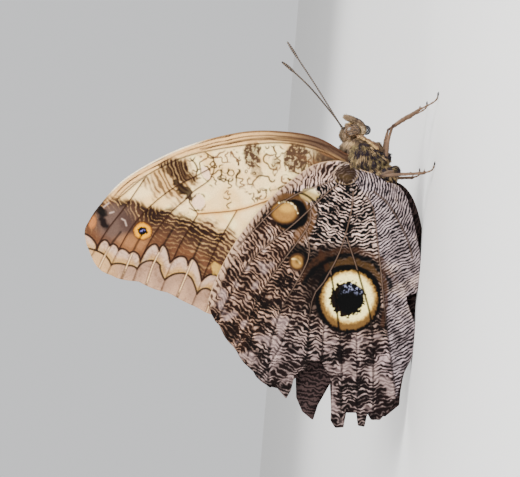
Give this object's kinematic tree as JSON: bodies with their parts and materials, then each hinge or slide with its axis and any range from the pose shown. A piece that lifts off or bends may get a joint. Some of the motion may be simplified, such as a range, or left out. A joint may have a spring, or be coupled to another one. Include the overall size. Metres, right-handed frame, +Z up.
{
  "type": "giant owl butterfly",
  "caption": "Giant owl butterfly at rest, wings closed over its back, standing on its legs and the lower edge of its hindwings.",
  "frame": {"origin": "on the ground, under the middle of the insect's bounding box", "axes": "+X forward, towards the head; +Y to the insect's left; +Z up, away from the surface it clings to"},
  "size_m": [0.1041, 0.0376, 0.0908],
  "materials": {
    "body_fur": "short soft scale fur, dark grey-brown with an olive to cream bloom, fully matte",
    "eye_shell": "smooth glossy compound eye, dark brown with lighter bands",
    "palp_scales": "matte close scales, brown with a cream edge",
    "antenna_horn": "smooth horn, dark brown with fine pale rings",
    "proboscis_skin": "smooth dark blue-black horn with a soft sheen",
    "leg_scales": "matte close scales, pinkish tan",
    "forewing_scales": "matte wing scales: cream with brown ripples, veins in ochre brown",
    "hindwing_scales": "matte wing scales: dark violet-brown with fine pale ripples and a ringed eyespot"
  },
  "bodies": {
    "root": {"head": "body_fur", "thorax": "body_fur", "abdomen": "body_fur", "proboscis": "proboscis_skin", "eye_left": "eye_shell", "eye_right": "eye_shell", "palp_left": "palp_scales", "palp_right": "palp_scales", "antenna_left": "antenna_horn", "antenna_right": "antenna_horn", "foreleg_left": "leg_scales", "foreleg_right": "leg_scales", "midleg_left": "leg_scales", "midleg_right": "leg_scales", "hindleg_left": "leg_scales", "hindleg_right": "leg_scales", "forewing_left": "forewing_scales", "forewing_right": "forewing_scales", "hindwing_left": "hindwing_scales", "hindwing_right": "hindwing_scales"}
  },
  "joints": []
}
